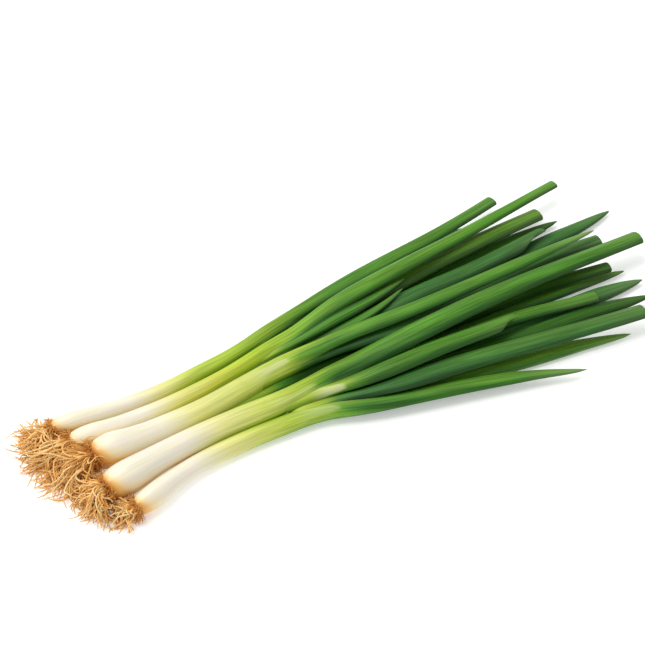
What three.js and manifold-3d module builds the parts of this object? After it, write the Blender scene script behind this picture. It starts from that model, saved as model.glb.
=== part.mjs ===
// A bunch of five spring onions lying side by side on a flat surface.
// Millimetres, +Z up. The roots point to -X and the leaf tips to +X.
// Each onion is a white stem, a tuft of roots, an outer leaf whose sheath carries on
// from the stem, and the inner leaves that come out of that sheath.

import * as THREE from 'three';
import { mergeVertices } from 'three/addons/utils/BufferGeometryUtils.js';
import Module from 'manifold-3d';

const wasm = await Module();
wasm.setup();

// ---------- driving dimensions ----------

const air = 0.3;                // clear space between pieces that lie together
const restFlat = 0.35;          // how deep the lowest pieces are flattened where they rest
const stationStep = 14;         // distance between the sections of a leaf
const stemSides = 12;
const outerSides = 10;
const leafSides = 8;

const bulbSwell = 13;           // from the root end of a bulb to its widest point
const bulbFade = 10;            // from there to where half of the swelling is gone, unless it has its own fade
const plateShare = 0.6;        // root end of a bulb, as a share of its widest size
const sheathLength = 25;        // green sheath between the stem and the fork of its leaves
const seatDepth = 12;           // how far an inner leaf reaches back into the sheath
const seatRadius = 1.6;         // an inner leaf where it starts, unless it has its own base
const leafSpread = 50;          // length over which a leaf base widens to a blade
const flatness = 0.52;          // thickness of a blade as a share of its width

const rootWidth = 1.5;
const rootStretches = 4;
const rootTries = 40;

// Axis and path points are [x, y, z]. Leaves are listed from the outer one inwards; a seat is
// where an inner leaf starts, across and up from the middle of the sheath; a leaf without one
// starts beside the stem. A leaf ends in a point over the length of its taper, or in a cut.
const onions = [
  {
    name: 'onion_1', bulb: 12.6, shaft: 9.6, fork: -34,
    roots: 30, rootReach: 22, rootLean: -0.25,
    axis: [
      [-170, 5.8, 6], [-156, 5, 6], [-130, 2.4, 5.4], [-100, 0.8, 5.2],
      [-74, 2.6, 5.6], [-48, 4.8, 6.2], [-34, 8.2, 7],
    ],
    leaves: [
      {
        width: 8.4, tipWidth: 6.2, end: 'cut',
        path: [[-10, 12.6, 8], [40, 21.2, 9], [100, 29.8, 9], [141, 38.6, 8]],
      },
      {
        seat: [-2.2, 0], base: 2, width: 7, taper: 60,
        path: [[0, 8, 6], [40, 17, 4], [80, 24, 3], [114, 28, 3]],
      },
      {
        seat: [0.3, -3], width: 13.4, tipWidth: 9, end: 'cut',
        path: [[0, 5, 5], [78, 10, 9], [120, 12.8, 9], [162, 16, 7.4]],
      },
    ],
  },
  {
    name: 'onion_2', bulb: 13.2, shaft: 10, fork: -38,
    roots: 30, rootReach: 32, rootLean: 0,
    axis: [
      [-161.5, -6.6, 6.4], [-148, -8.6, 6.4], [-128, -9.8, 6], [-104, -10.2, 6],
      [-80, -9, 6.4], [-54, -6.6, 7.4], [-38, -2.8, 8.2],
    ],
    leaves: [
      {
        width: 9.6, tipWidth: 5.6, end: 'cut',
        path: [[-17, -2.6, 11], [0, 1, 14], [40, 6, 17], [100, 14.6, 16], [180, 30.2, 11]],
      },
      {
        seat: [-3, 0.3], base: 2, width: 8.4, taper: 40,
        path: [[-20, -9, 11], [0, -6, 12], [40, -1, 13], [57, 3.5, 12]],
      },
      {
        seat: [-0.7, -3.1], width: 7, taper: 34,
        path: [[-8, -8.8, 9.6], [4, -10.2, 10.4], [40, -5.4, 12], [52, 1, 12]],
      },
      {
        seat: [2.6, -2], width: 10.4, taper: 45,
        path: [[0, -1, 4], [60, 6.6, 3], [113, 11, 3], [168, 11.8, 4]],
      },
    ],
  },
  {
    name: 'onion_3', bulb: 19.8, shaft: 13, fork: -38,
    roots: 36, rootReach: 38, rootLean: 0.15,
    axis: [
      [-156, -25.6, 9.5], [-141, -26.2, 9.5], [-113, -24.6, 7.4],
      [-87, -24, 7.4], [-60, -20.8, 8.2], [-38, -18.6, 9],
    ],
    leaves: [
      {
        width: 9.4, taper: 55,
        path: [[-20, -18.8, 12], [0, -19.8, 15], [40, -22.8, 17], [100, -22, 17], [176, -16.5, 13]],
      },
      {
        seat: [3.6, 0.2], width: 11.4, tipWidth: 9, end: 'slant',
        path: [[0, -13.4, 7], [48, -6.5, 9.8], [100, -5, 10], [153, 1, 9]],
      },
      {
        seat: [2, -3.6], width: 10, taper: 38,
        path: [[0, -19, 4], [80, -8, 4], [141, -2, 4], [180, 0, 4], [201, 3.5, 3]],
      },
      {
        seat: [-3.9, 0.4], base: 2.8, width: 9.6, tipWidth: 7, end: 'cut',
        path: [
          [-16, -23.6, 9.6], [0, -24.2, 10.4], [40, -27, 11],
          [80, -23, 8], [153, -16.5, 5], [180, -19, 5],
        ],
      },
      {
        from: -74, opens: -70, base: 2.4, width: 10.6, tipWidth: 7, end: 'cut',
        path: [
          [-74, -31.6, 5], [-50, -30.2, 7.2], [0, -31, 7], [40, -33.5, 6],
          [100, -38, 8], [140, -40, 8], [170, -44.5, 8],
        ],
      },
    ],
  },
  {
    name: 'onion_4', bulb: 19.2, shaft: 12.6, fork: -34, fade: 16,
    roots: 36, rootReach: 31, rootLean: 0.45,
    axis: [
      [-159, -50.2, 9.2], [-143, -47.2, 9.2], [-126, -43.8, 8.8], [-105, -41.4, 8.4],
      [-80, -40.8, 8.4], [-55, -41.6, 9], [-34, -41.4, 9.8],
    ],
    leaves: [
      {
        width: 13.6, tipWidth: 9.6, end: 'cut',
        path: [[-20, -39.6, 11], [0, -40.4, 13.5], [40, -40.5, 18.5], [100, -36.5, 18], [196, -35, 14]],
      },
      {
        seat: [-3.7, 0.8], base: 3.2, width: 12, tipWidth: 10, end: 'slant',
        path: [[-14, -50, 11.4], [10, -54, 15.4], [40, -55, 16.6], [95, -57, 15]],
      },
      {
        seat: [-1.6, -4], width: 10.6, tipWidth: 8, end: 'cut',
        path: [[0, -46, 8], [60, -49, 9], [100, -51.5, 9], [149, -60.5, 9]],
      },
      {
        seat: [2.2, -3.6], width: 11.2, taper: 40,
        path: [[0, -42, 4], [60, -43.5, 4], [110, -43, 4], [140, -44, 4], [179, -49, 4]],
      },
    ],
  },
  {
    name: 'onion_5', bulb: 13.2, shaft: 10, fork: -28,
    roots: 30, rootReach: 22, rootLean: 0.75,
    axis: [
      [-149, -65.4, 6.5], [-136, -61, 6.5], [-121, -55.2, 5.6], [-105, -51.9, 5.2],
      [-83, -49.8, 5.2], [-55, -49.8, 5.2], [-28, -52.8, 5.6],
    ],
    leaves: [
      {
        width: 10.4, taper: 44,
        path: [[-10, -60.4, 6], [10, -65.4, 6], [40, -73.2, 6], [80, -84.4, 5], [114, -97, 4]],
      },
      {
        seat: [0, 2.8], base: 2.2, width: 11, tipWidth: 9, end: 'cut',
        path: [[-5, -55.5, 9], [20, -59.5, 10], [60, -65, 10], [100, -71.8, 10], [165, -82, 10]],
      },
      {
        seat: [3.1, -0.6], width: 12, taper: 26,
        path: [[10, -51, 4], [80, -52, 4], [156, -54.2, 4], [184, -56.2, 4]],
      },
      {
        seat: [0.7, -3.3], width: 11, taper: 30,
        path: [[10, -56, 4], [80, -62, 4], [151, -67, 4], [179, -71.6, 4]],
      },
      {
        seat: [-2.4, -1.2], base: 1.8, width: 12, taper: 45,
        path: [[10, -58.6, 4], [50, -64, 4], [86, -71, 4], [120, -76.6, 4], [153, -84.4, 4]],
      },
    ],
  },
];

// ---------- small helpers ----------

function smooth(t) {
  const u = THREE.MathUtils.clamp(t, 0, 1);
  return u * u * (3 - 2 * u);
}

function mix(a, b, t) {
  return a + (b - a) * t;
}

// A repeatable random number source.
function seeded(seed) {
  let state = seed;
  return () => {
    state = (Math.imul(state, 1664525) + 1013904223) >>> 0;
    return state / 4294967296;
  };
}

function solidOf(geometry) {
  const bare = geometry.clone();
  bare.deleteAttribute('normal');
  bare.deleteAttribute('uv');
  const merged = mergeVertices(bare, 1e-4);
  return new wasm.Manifold(new wasm.Mesh({
    numProp: 3,
    vertProperties: Float32Array.from(merged.attributes.position.array),
    triVerts: Uint32Array.from(merged.index.array),
  }));
}

function geometryOf(solid) {
  const mesh = solid.getMesh();
  const geometry = new THREE.BufferGeometry();
  const corners = Float32Array.from(mesh.vertProperties);
  const triangles = Uint32Array.from(mesh.triVerts);
  geometry.setAttribute('position', new THREE.BufferAttribute(corners, 3));
  geometry.setIndex(new THREE.BufferAttribute(triangles, 1));
  geometry.computeVertexNormals();
  return geometry;
}

// The biggest piece of a solid, so that a scrap left by a cut is dropped.
function mainBody(solid) {
  const bodies = solid.decompose();
  return bodies.reduce((best, body) => (body.volume() > best.volume() ? body : best));
}

// A closed tube through a list of oval sections. A section has its middle, its side and up
// directions, and half its width and thickness; skew slides its sides along the tube.
function loft(sections, sides) {
  const steps = sections.length - 1;
  const tube = new THREE.CylinderGeometry(1, 1, steps, sides, steps);
  const position = tube.attributes.position;
  const point = new THREE.Vector3();
  for (let i = 0; i < position.count; i += 1) {
    const section = sections[Math.round(position.getY(i) + steps / 2)];
    point.copy(section.middle);
    point.addScaledVector(section.side, position.getX(i) * section.halfWidth);
    point.addScaledVector(section.up, -position.getZ(i) * section.halfThick);
    point.x += position.getX(i) * (section.skew ?? 0);
    position.setXYZ(i, point.x, point.y, point.z);
  }
  return tube;
}

// A section of a run at x: its side stays level and its up leans with the slope.
function sectionAt(line, x, size) {
  const { y, z } = line(x);
  const before = line(x - 1);
  const after = line(x + 1);
  const along = new THREE.Vector3(2, after.y - before.y, after.z - before.z).normalize();
  const side = new THREE.Vector3(-along.y, along.x, 0).normalize();
  const up = new THREE.Vector3().crossVectors(along, side);
  return { middle: new THREE.Vector3(x, y, z), side, up, ...size };
}

// ---------- runs: stems and leaves as sections at shared stations ----------

// A smooth line through a few points, read by its x.
function lineThrough(points) {
  const xs = points.map((p) => p[0]);
  const yzs = points.flatMap((p) => [p[1], p[2]]);
  const line = new THREE.CubicInterpolant(xs, yzs, 2);
  return (x) => {
    const [y, z] = line.evaluate(x);
    return { y, z };
  };
}

function stemRadius(onion, x) {
  const s = x - onion.rootEnd;
  if (s < bulbSwell) {
    const rounded = Math.sqrt(1 - (1 - Math.max(s, 0) / bulbSwell) ** 2);
    return onion.bulb / 2 * mix(plateShare, 1, rounded);
  }
  const swelling = 1 / (1 + ((s - bulbSwell) / (onion.fade ?? bulbFade)) ** 2);
  return mix(onion.shaft, onion.bulb, swelling) / 2;
}

function stemSize(onion, x) {
  const radius = stemRadius(onion, x);
  return { halfWidth: radius, halfThick: radius };
}

// Half the width and thickness of a leaf at x.
function leafSize(onion, leaf, x) {
  const tipX = leaf.path.at(-1)[0];
  const baseRadius = leaf.outer ? onion.shaft / 2 : leaf.base ?? seatRadius;
  const opened = smooth((x - leaf.opens) / leafSpread);
  const toTip = smooth((x - leaf.opens - leafSpread) / (tipX - leaf.opens - leafSpread));
  let width = mix(leaf.width, leaf.tipWidth ?? leaf.width * 0.8, toTip);
  if (leaf.taper) {
    width *= Math.sqrt(THREE.MathUtils.clamp((tipX - x) / leaf.taper, 0, 1));
  }
  const halfWidth = mix(baseRadius, width / 2, opened);
  const halfThick = mix(baseRadius, width / 2 * flatness, opened);
  return { halfWidth: Math.max(halfWidth, 0.45), halfThick: Math.max(halfThick, 0.4) };
}

const runs = [];

// A stem and its outer leaf share one run, because the leaf's sheath carries on from the stem.
for (const onion of onions) {
  const axisLine = lineThrough(onion.axis);
  onion.rootEnd = onion.axis[0][0];
  onion.neck = onion.fork - sheathLength;
  onion.leaves.forEach((leaf, i) => {
    const tipX = leaf.path.at(-1)[0];
    leaf.outer = i === 0;
    leaf.opens ??= leaf.outer ? onion.fork - 8 : onion.fork;
    leaf.onion = onion;
    leaf.from ??= leaf.outer ? onion.rootEnd : onion.fork - seatDepth;
    leaf.to = tipX;
    if (leaf.outer) {
      leaf.line = lineThrough([...onion.axis, ...leaf.path]);
      leaf.size = (x) => (x < onion.neck ? stemSize(onion, x) : leafSize(onion, leaf, x));
    } else if (!leaf.seat) {
      leaf.line = lineThrough(leaf.path);
      leaf.size = (x) => leafSize(onion, leaf, x);
    } else {
      const [across, up] = leaf.seat;
      const seat = [leaf.from, onion.fork - 2].map((x) => {
        const { y, z } = axisLine(x);
        return [x, y + across, z + up];
      });
      leaf.line = lineThrough([...seat, ...leaf.path]);
      leaf.size = (x) => leafSize(onion, leaf, x);
    }
    runs.push(leaf);
  });
}

const firstStation = -168;
const stationCount = 28;
const stationX = (k) => firstStation + k * stationStep;

for (const run of runs) {
  run.stations = [];
  for (let k = 0; k < stationCount; k += 1) {
    const x = stationX(k);
    if (x >= run.from - stationStep && x <= run.to + stationStep) {
      const within = THREE.MathUtils.clamp(x, run.from, run.to);
      const { y, z } = run.line(within);
      const past = x - run.onion.fork;
      const free = run.outer ? mix(0.2, 1, smooth(past / 60)) : smooth((past - 4) / 45);
      run.stations[k] = { y, z, y0: y, z0: z, free, ...run.size(within) };
    }
  }
}

// Stems and leaves that would cross are eased apart, station by station, until each lies
// on or beside the next and none goes through the surface below.
function settle(rounds) {
  for (let round = 0; round < rounds; round += 1) {
    for (let k = 0; k < stationCount; k += 1) {
      for (let i = 0; i < runs.length; i += 1) {
        for (let j = i + 1; j < runs.length; j += 1) {
          easeApart(runs[i], runs[j], k);
        }
      }
      for (const run of runs) {
        const here = run.stations[k];
        if (here && here.z < here.halfThick - restFlat) {
          here.z = here.halfThick - restFlat;
        }
      }
    }
    for (const run of runs) {
      straighten(run);
    }
  }
}

function easeApart(first, second, k) {
  const a = first.stations[k];
  const b = second.stations[k];
  if (!a || !b) {
    return;
  }
  const nested = first.onion === second.onion && first.outer;
  if (nested && stationX(k) < first.onion.fork + 40) {
    return;
  }
  const reachY = (a.halfWidth + b.halfWidth) * 1.04 + air * 1.5;
  const reachZ = (a.halfThick + b.halfThick) * 1.04 + air * 1.5;
  const dy = (b.y - a.y) / reachY;
  const dz = (b.z - a.z) / reachZ;
  const distance = Math.hypot(dy, dz) || 1;
  const weight = a.free + b.free;
  if (distance >= 1 || weight === 0) {
    return;
  }
  const push = (1 - distance) / distance * 0.5;
  a.y -= dy * push * reachY * a.free / weight;
  a.z -= dz * push * reachZ * a.free / weight;
  b.y += dy * push * reachY * b.free / weight;
  b.z += dz * push * reachZ * b.free / weight;
}

// Evens out the bends that easing apart leaves in a run, and draws it back to its own line.
function straighten(run) {
  const old = run.stations.map((s) => ({ y: s.y - s.y0, z: s.z - s.z0 }));
  run.stations.forEach((here, k) => {
    const before = old[k - 1] ?? old[k];
    const after = old[k + 1] ?? old[k];
    here.y = here.y0 + mix(old[k].y, (before.y + after.y) / 2, 0.35 * here.free);
    here.z = here.z0 + mix(old[k].z, (before.z + after.z) / 2, 0.35 * here.free);
  });
}

settle(400);

// The settled line of a run, read by its x.
function settledLine(run) {
  const points = [];
  run.stations.forEach((here, k) => points.push([stationX(k), here.y, here.z]));
  return lineThrough(points);
}

// ---------- leaves ----------

function leafSections(leaf, grow) {
  const line = settledLine(leaf);
  const start = leaf.outer ? leaf.onion.neck + air : leaf.from;
  const spacing = (leaf.to - start) / Math.round((leaf.to - start) / stationStep);
  const grown = (x) => {
    const { halfWidth, halfThick } = leaf.size(x);
    return { halfWidth: halfWidth + grow, halfThick: halfThick + grow };
  };
  const sections = [];
  for (let x = start; x < leaf.to - spacing / 2; x += spacing) {
    sections.push(sectionAt(line, x, grown(x)));
  }
  const nearTip = leaf.to - (leaf.taper ? leaf.taper * 0.1 : leaf.tipWidth * 0.25);
  sections.push(sectionAt(line, nearTip, grown(nearTip)));
  const tip = sectionAt(line, leaf.to, grown(leaf.to));
  if (leaf.end) {
    tip.halfWidth *= 0.72;
    tip.halfThick *= 0.72;
  }
  sections.push(tip);
  if (leaf.end === 'slant') {
    const [shoulder, end] = sections.slice(-2);
    shoulder.skew = leaf.tipWidth * 0.3;
    end.skew = leaf.tipWidth * 0.5;
    end.middle.x -= leaf.tipWidth * 0.3;
    shoulder.middle.x -= leaf.tipWidth * 0.3;
  }
  return sections;
}

// ---------- stems ----------

function stemSections(onion) {
  const xs = [0, 0.07, 0.22, 0.5, 1].map((share) => onion.rootEnd + share * bulbSwell);
  const rest = onion.neck - onion.rootEnd - bulbSwell;
  const steps = Math.round(rest / 10);
  for (let i = 1; i <= steps; i += 1) {
    xs.push(onion.rootEnd + bulbSwell + rest * i / steps);
  }
  return xs.map((x) => sectionAt(onion.stemLine, x, stemSize(onion, x)));
}

// ---------- roots ----------

const crowded = 8;              // points near the plate, where roots of one onion may touch
const rootPoints = [];          // every root so far, as points with the onion they belong to

function clearOfOthers(points, owner) {
  return points.every((p) => {
    if (p.z < rootWidth / 2) {
      return false;
    }
    const nearStem = onions.some((onion) => {
      const x = THREE.MathUtils.clamp(p.x, onion.rootEnd - 3, onion.neck);
      const { y, z } = onion.stemLine(x);
      const limit = stemRadius(onion, x) + rootWidth / 2 + air * 2;
      const inFront = onion === owner ? onion.rootEnd - air : onion.rootEnd - 6;
      return p.x > inFront && Math.hypot(p.x - x, p.y - y, p.z - z) < limit;
    });
    return !nearStem;
  }) && rootPoints.every((other) => {
    const met = other.owner === owner ? points.slice(crowded) : points;
    return met.every((p) => p.distanceTo(other.point) > rootWidth + air * 2);
  });
}

function rootPath(onion, random) {
  const { y, z } = onion.stemLine(onion.rootEnd);
  const plate = onion.bulb / 2 * plateShare;
  const round = random() * Math.PI * 2;
  const out = Math.sqrt(random());
  const start = new THREE.Vector3(
    onion.rootEnd - 2.2,
    y + Math.cos(round) * out * plate * 0.7,
    z + Math.sin(round) * out * plate * 0.7,
  );
  const spread = 1.25 * out;
  const heading = new THREE.Vector3(
    -1,
    onion.rootLean + Math.cos(round) * spread * 0.6 + (random() - 0.5) * 0.4,
    Math.sin(round) * spread * 0.5 - 0.35 + (random() - 0.5) * 0.3,
  ).normalize();
  const points = [start];
  const stretch = onion.rootReach / rootStretches * mix(0.65, 1.1, random());
  for (let i = 0; i < rootStretches; i += 1) {
    const next = points[i].clone().addScaledVector(heading, i === 0 ? stretch * 0.7 : stretch);
    next.z = Math.max(next.z, rootWidth / 2 + 0.1);
    points.push(next);
    heading.x += (random() - 0.5) * 0.7;
    heading.y += (random() - 0.5) * 0.8;
    heading.z += (random() - 0.5) * 0.5 - 0.3;
    heading.normalize();
  }
  return points;
}

function rootSolid(points) {
  const curve = new THREE.CatmullRomCurve3(points);
  const steps = points.length - 1;
  const frames = curve.computeFrenetFrames(steps, false);
  const sections = points.map((middle, i) => ({
    middle,
    side: frames.normals[i],
    up: frames.binormals[i],
    halfWidth: rootWidth / 2 * mix(1.1, 0.6, i / steps),
    halfThick: rootWidth / 2 * mix(1.1, 0.6, i / steps),
  }));
  return solidOf(loft(sections, 3));
}

function rootTuft(onion, random) {
  const plate = onion.bulb / 2 * plateShare;
  const face = sectionAt(onion.stemLine, onion.rootEnd, {});
  const along = new THREE.Vector3().crossVectors(face.side, face.up);
  const sections = [[5, 0.45], [3.6, 0.85], [1.4, 1], [0, 0.94]].map(([back, share]) => ({
    ...face,
    middle: face.middle.clone().addScaledVector(along, -air - back),
    halfWidth: plate * share,
    halfThick: plate * share,
  }));
  let tuft = solidOf(loft(sections, 10));
  for (let i = 0; i < onion.roots; i += 1) {
    for (let attempt = 0; attempt < rootTries; attempt += 1) {
      const points = rootPath(onion, random);
      const fine = new THREE.CatmullRomCurve3(points, false, 'catmullrom', 0).getSpacedPoints(24);
      if (clearOfOthers(fine, onion)) {
        tuft = tuft.add(rootSolid(points));
        fine.forEach((point) => rootPoints.push({ owner: onion, point }));
        break;
      }
    }
  }
  return tuft;
}

// ---------- finishes ----------

const finishes = {
  stem: { color: '#f2ecc9', roughness: 0.32, metalness: 0 },
  outerLeaf: { color: '#86ad45', roughness: 0.4, metalness: 0 },
  leaf: { color: '#3f7f3a', roughness: 0.42, metalness: 0 },
  roots: { color: '#d2a25e', roughness: 0.8, metalness: 0 },
};

function pieceOf(name, solid, finish) {
  const mesh = new THREE.Mesh(geometryOf(solid), new THREE.MeshStandardMaterial(finishes[finish]));
  mesh.name = name;
  return mesh;
}

// ---------- the bunch ----------

// All that is under the surface, which flattens the lowest pieces where they rest.
const below = solidOf(new THREE.BoxGeometry(600, 400, 40).translate(0, 0, -20));

const bunch = new THREE.Group();
const random = seeded(20);

for (const onion of onions) {
  onion.stemLine = settledLine(onion.leaves[0]);
}

for (const onion of onions) {
  const stem = solidOf(loft(stemSections(onion), stemSides));
  bunch.add(pieceOf(`${onion.name}_stem`, stem.subtract(below), 'stem'));
  bunch.add(pieceOf(`${onion.name}_roots`, mainBody(rootTuft(onion, random).subtract(below)), 'roots'));
  onion.leaves.forEach((leaf, i) => {
    let blade = solidOf(loft(leafSections(leaf, 0), leaf.outer ? outerSides : leafSides));
    if (leaf.outer) {
      for (const inner of onion.leaves.slice(1)) {
        blade = blade.subtract(solidOf(loft(leafSections(inner, air), leafSides)));
      }
    }
    const name = leaf.outer ? `${onion.name}_outer_leaf` : `${onion.name}_leaf_${i}`;
    bunch.add(pieceOf(name, mainBody(blade.subtract(below)), leaf.outer ? 'outerLeaf' : 'leaf'));
  });
}

// The origin is under the middle of the bunch, on the surface that it lies on.
const box = new THREE.Box3().setFromObject(bunch);
const middle = box.getCenter(new THREE.Vector3());
bunch.position.set(-middle.x, -middle.y, -box.min.z);

export default bunch;
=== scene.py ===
import math
import random

import bpy
import numpy as np
from mathutils import Matrix, Vector


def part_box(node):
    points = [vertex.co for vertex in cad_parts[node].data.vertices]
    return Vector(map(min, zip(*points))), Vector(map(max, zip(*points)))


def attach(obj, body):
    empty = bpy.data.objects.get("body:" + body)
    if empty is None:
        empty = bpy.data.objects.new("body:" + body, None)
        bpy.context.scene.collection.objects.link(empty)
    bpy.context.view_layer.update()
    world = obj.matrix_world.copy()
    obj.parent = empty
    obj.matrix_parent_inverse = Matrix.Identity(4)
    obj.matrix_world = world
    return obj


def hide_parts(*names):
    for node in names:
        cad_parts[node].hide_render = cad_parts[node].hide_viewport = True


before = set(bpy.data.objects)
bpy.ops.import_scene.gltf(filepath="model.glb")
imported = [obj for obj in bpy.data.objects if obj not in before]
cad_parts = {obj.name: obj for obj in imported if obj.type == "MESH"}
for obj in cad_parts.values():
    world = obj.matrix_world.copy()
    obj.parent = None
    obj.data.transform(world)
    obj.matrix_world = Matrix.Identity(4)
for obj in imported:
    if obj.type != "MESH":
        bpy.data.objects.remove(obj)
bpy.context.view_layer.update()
mm = 0.001


# ---- colours, nodes and meshes ----

def hexColour(code):
    # sRGB hex to the linear values that shaders use
    parts = [int(code[i:i + 2], 16) / 255 for i in (1, 3, 5)]
    return tuple(c / 12.92 if c <= 0.04045 else ((c + 0.055) / 1.055) ** 2.4 for c in parts) + (1.0,)


def addNode(tree, kind, settings=None, stops=(), **links):
    # one node, its settings, its ramp's stops as (place, hex colour), and what is linked or set on its inputs
    node = tree.nodes.new(kind)
    for key, value in (settings or {}).items():
        setattr(node, key, value)
    if stops:
        elements = node.color_ramp.elements
        while len(elements) < len(stops):
            elements.new(0.5)
        for element, (place, code) in zip(elements, stops):
            element.position = place
            element.color = hexColour(code)
    for key, value in links.items():
        name = key.replace("_", " ")
        socket = node.inputs[int(name[3:])] if name.startswith("in ") else node.inputs[name]
        if isinstance(value, bpy.types.NodeSocket):
            tree.links.new(value, socket)
        else:
            socket.default_value = value
    return node


def newMaterial(name):
    material = bpy.data.materials.new(name)
    material.use_nodes = True
    tree = material.node_tree
    tree.nodes.clear()
    shader = addNode(tree, "ShaderNodeBsdfPrincipled")
    addNode(tree, "ShaderNodeOutputMaterial", Surface=shader.outputs["BSDF"])
    return material, tree, shader


def smooth(t):
    u = np.clip(t, 0.0, 1.0)
    return u * u * (3 - 2 * u)


def wander(seed, waves, strength):
    # a slow, smooth, repeatable wobble: a few sine waves of the given lengths
    draw = random.Random(seed)
    parts = [(2 * math.pi / w, draw.uniform(0, 2 * math.pi)) for w in waves]
    return lambda s: strength * sum(np.sin(k * np.asarray(s) + p) for k, p in parts) / len(parts)


def ringMesh(name, rings, marks, sharpStart=False, sharpEnd=False):
    # a closed skin through rings of points; marks are values kept on the points for the materials
    rows, sides = rings.shape[:2]
    points = np.vstack([rings.reshape(-1, 3), rings[0].mean(0), rings[-1].mean(0)])
    here = np.arange(rows * sides).reshape(rows, sides)
    turned = np.roll(here, -1, axis=1)
    quads = np.stack([here[:-1], here[1:], turned[1:], turned[:-1]], axis=-1).reshape(-1, 4)
    startFan = np.stack([np.full(sides, rows * sides), here[0], turned[0]], axis=-1)
    endFan = np.stack([np.full(sides, rows * sides + 1), turned[-1], here[-1]], axis=-1)
    faces = quads.tolist() + startFan.tolist() + endFan.tolist()
    mesh = bpy.data.meshes.new(name)
    mesh.from_pydata(points.tolist(), [], faces)
    mesh.polygons.foreach_set("use_smooth", [True] * len(faces))
    for key, values in marks.items():
        flat = values.reshape(rows * sides, -1)
        ends = np.stack([values[0].reshape(sides, -1).mean(0), values[-1].reshape(sides, -1).mean(0)])
        full = np.vstack([flat, ends]).astype(np.float32)
        kind = "FLOAT_VECTOR" if full.shape[1] == 3 else "FLOAT"
        slot = mesh.attributes.new(key, kind, "POINT")
        slot.data.foreach_set("vector" if full.shape[1] == 3 else "value", full.ravel())
    edgeRows = ([0] if sharpStart else []) + ([rows - 1] if sharpEnd else [])
    if edgeRows:
        sharp = {frozenset((int(here[r][c]), int(turned[r][c]))) for r in edgeRows for c in range(sides)}
        for edge in mesh.edges:
            if frozenset(edge.vertices) in sharp:
                edge.use_edge_sharp = True
    mesh.update()
    return mesh


def addPiece(name, mesh, material, slot, *nodes):
    piece = bpy.data.objects.new(name, mesh)
    bpy.context.scene.collection.objects.link(piece)
    mesh.materials.append(material)
    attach(piece, "root")
    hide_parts(*nodes)


# ---- reading a stem or leaf from the frame ----

reading = {
    "step": 2.0 * mm,         # distance between the slices
    "evenOut": 5.0 * mm,      # how far the slices are averaged, so that the facets disappear
    "evenSize": 0.4,          # sizes are averaged over this share of that
    "edge": 2.2 * mm,         # slices keep this far from the ends, where a leaning end face is cut askew
    "ahead": 1.5 * mm,        # how far each way the direction of a run is measured
}


def sliceNode(node, first, last):
    # middle and half size, across and up, of a frame node between two places along x
    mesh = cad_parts[node].data
    points = np.array([v.co for v in mesh.vertices])
    pairs = np.array([e.vertices for e in mesh.edges])
    a, b = points[pairs[:, 0]], points[pairs[:, 1]]
    rows = []
    for x in np.arange(first, last, reading["step"]):
        cut = ((a[:, 0] - x) * (b[:, 0] - x) <= 0) & (np.abs(a[:, 0] - b[:, 0]) > 1e-9)
        share = (x - a[cut, 0]) / (b[cut, 0] - a[cut, 0])
        met = a[cut] + (b[cut] - a[cut]) * share[:, None]
        low, high = met.min(0), met.max(0)
        rows.append([x, *((low + high) / 2)[1:], *((high - low) / 2)[1:]])
    return np.array(rows)


def evenOut(values, width):
    # a running average that keeps straight slopes at the ends
    reach = int(math.ceil(3 * width / reading["step"]))
    weights = np.exp(-0.5 * (np.arange(-reach, reach + 1) * reading["step"] / width) ** 2)
    weights /= weights.sum()
    before = 2 * values[0] - values[reach:0:-1]
    after = 2 * values[-1] - values[-2:-reach - 2:-1]
    return np.convolve(np.concatenate([before, values, after]), weights, mode="valid")


def runFrom(slices, start, end):
    # a smooth run through the slices, carried on straight to its start and end
    even = np.arange(slices[0, 0], slices[-1, 0], reading["step"])
    x = even
    y, z, halfWidth, halfThick = (np.interp(even, slices[:, 0], slices[:, k]) for k in (1, 2, 3, 4))
    y, z = evenOut(y, reading["evenOut"]), evenOut(z, reading["evenOut"])
    halfWidth = evenOut(halfWidth, reading["evenOut"] * reading["evenSize"]) * np.cos(np.arctan(np.gradient(y, x)))
    halfThick = evenOut(halfThick, reading["evenOut"] * reading["evenSize"])
    run = {"x": np.concatenate([[start], x, [end]])}
    for key, values in (("y", y), ("z", z)):
        head, tail = np.polyfit(x[:5], values[:5], 1)[0], np.polyfit(x[-5:], values[-5:], 1)[0]
        run[key] = np.concatenate([[values[0] + head * (start - x[0])], values, [values[-1] + tail * (end - x[-1])]])
    for key, values in (("halfWidth", halfWidth), ("halfThick", halfThick)):
        run[key] = np.concatenate([[values[0]], values, [values[-1]]])
    return run


def at(run, key, x):
    return np.interp(x, run["x"], run[key])


def along(run, x):
    # middle points, side, up and forward directions at each x of a run
    middle = np.stack([x, at(run, "y", x), at(run, "z", x)], axis=-1)
    before = np.clip(x - reading["ahead"], run["x"][0], None)
    after = np.clip(x + reading["ahead"], None, run["x"][-1])
    ahead = np.stack([after - before, at(run, "y", after) - at(run, "y", before),
                      at(run, "z", after) - at(run, "z", before)], axis=-1)
    ahead /= np.linalg.norm(ahead, axis=1)[:, None]
    side = np.stack([-ahead[:, 1], ahead[:, 0], np.zeros(len(x))], axis=-1)
    side /= np.linalg.norm(side, axis=1)[:, None]
    return middle, side, np.cross(ahead, side), ahead


# ---- skins ----

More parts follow.
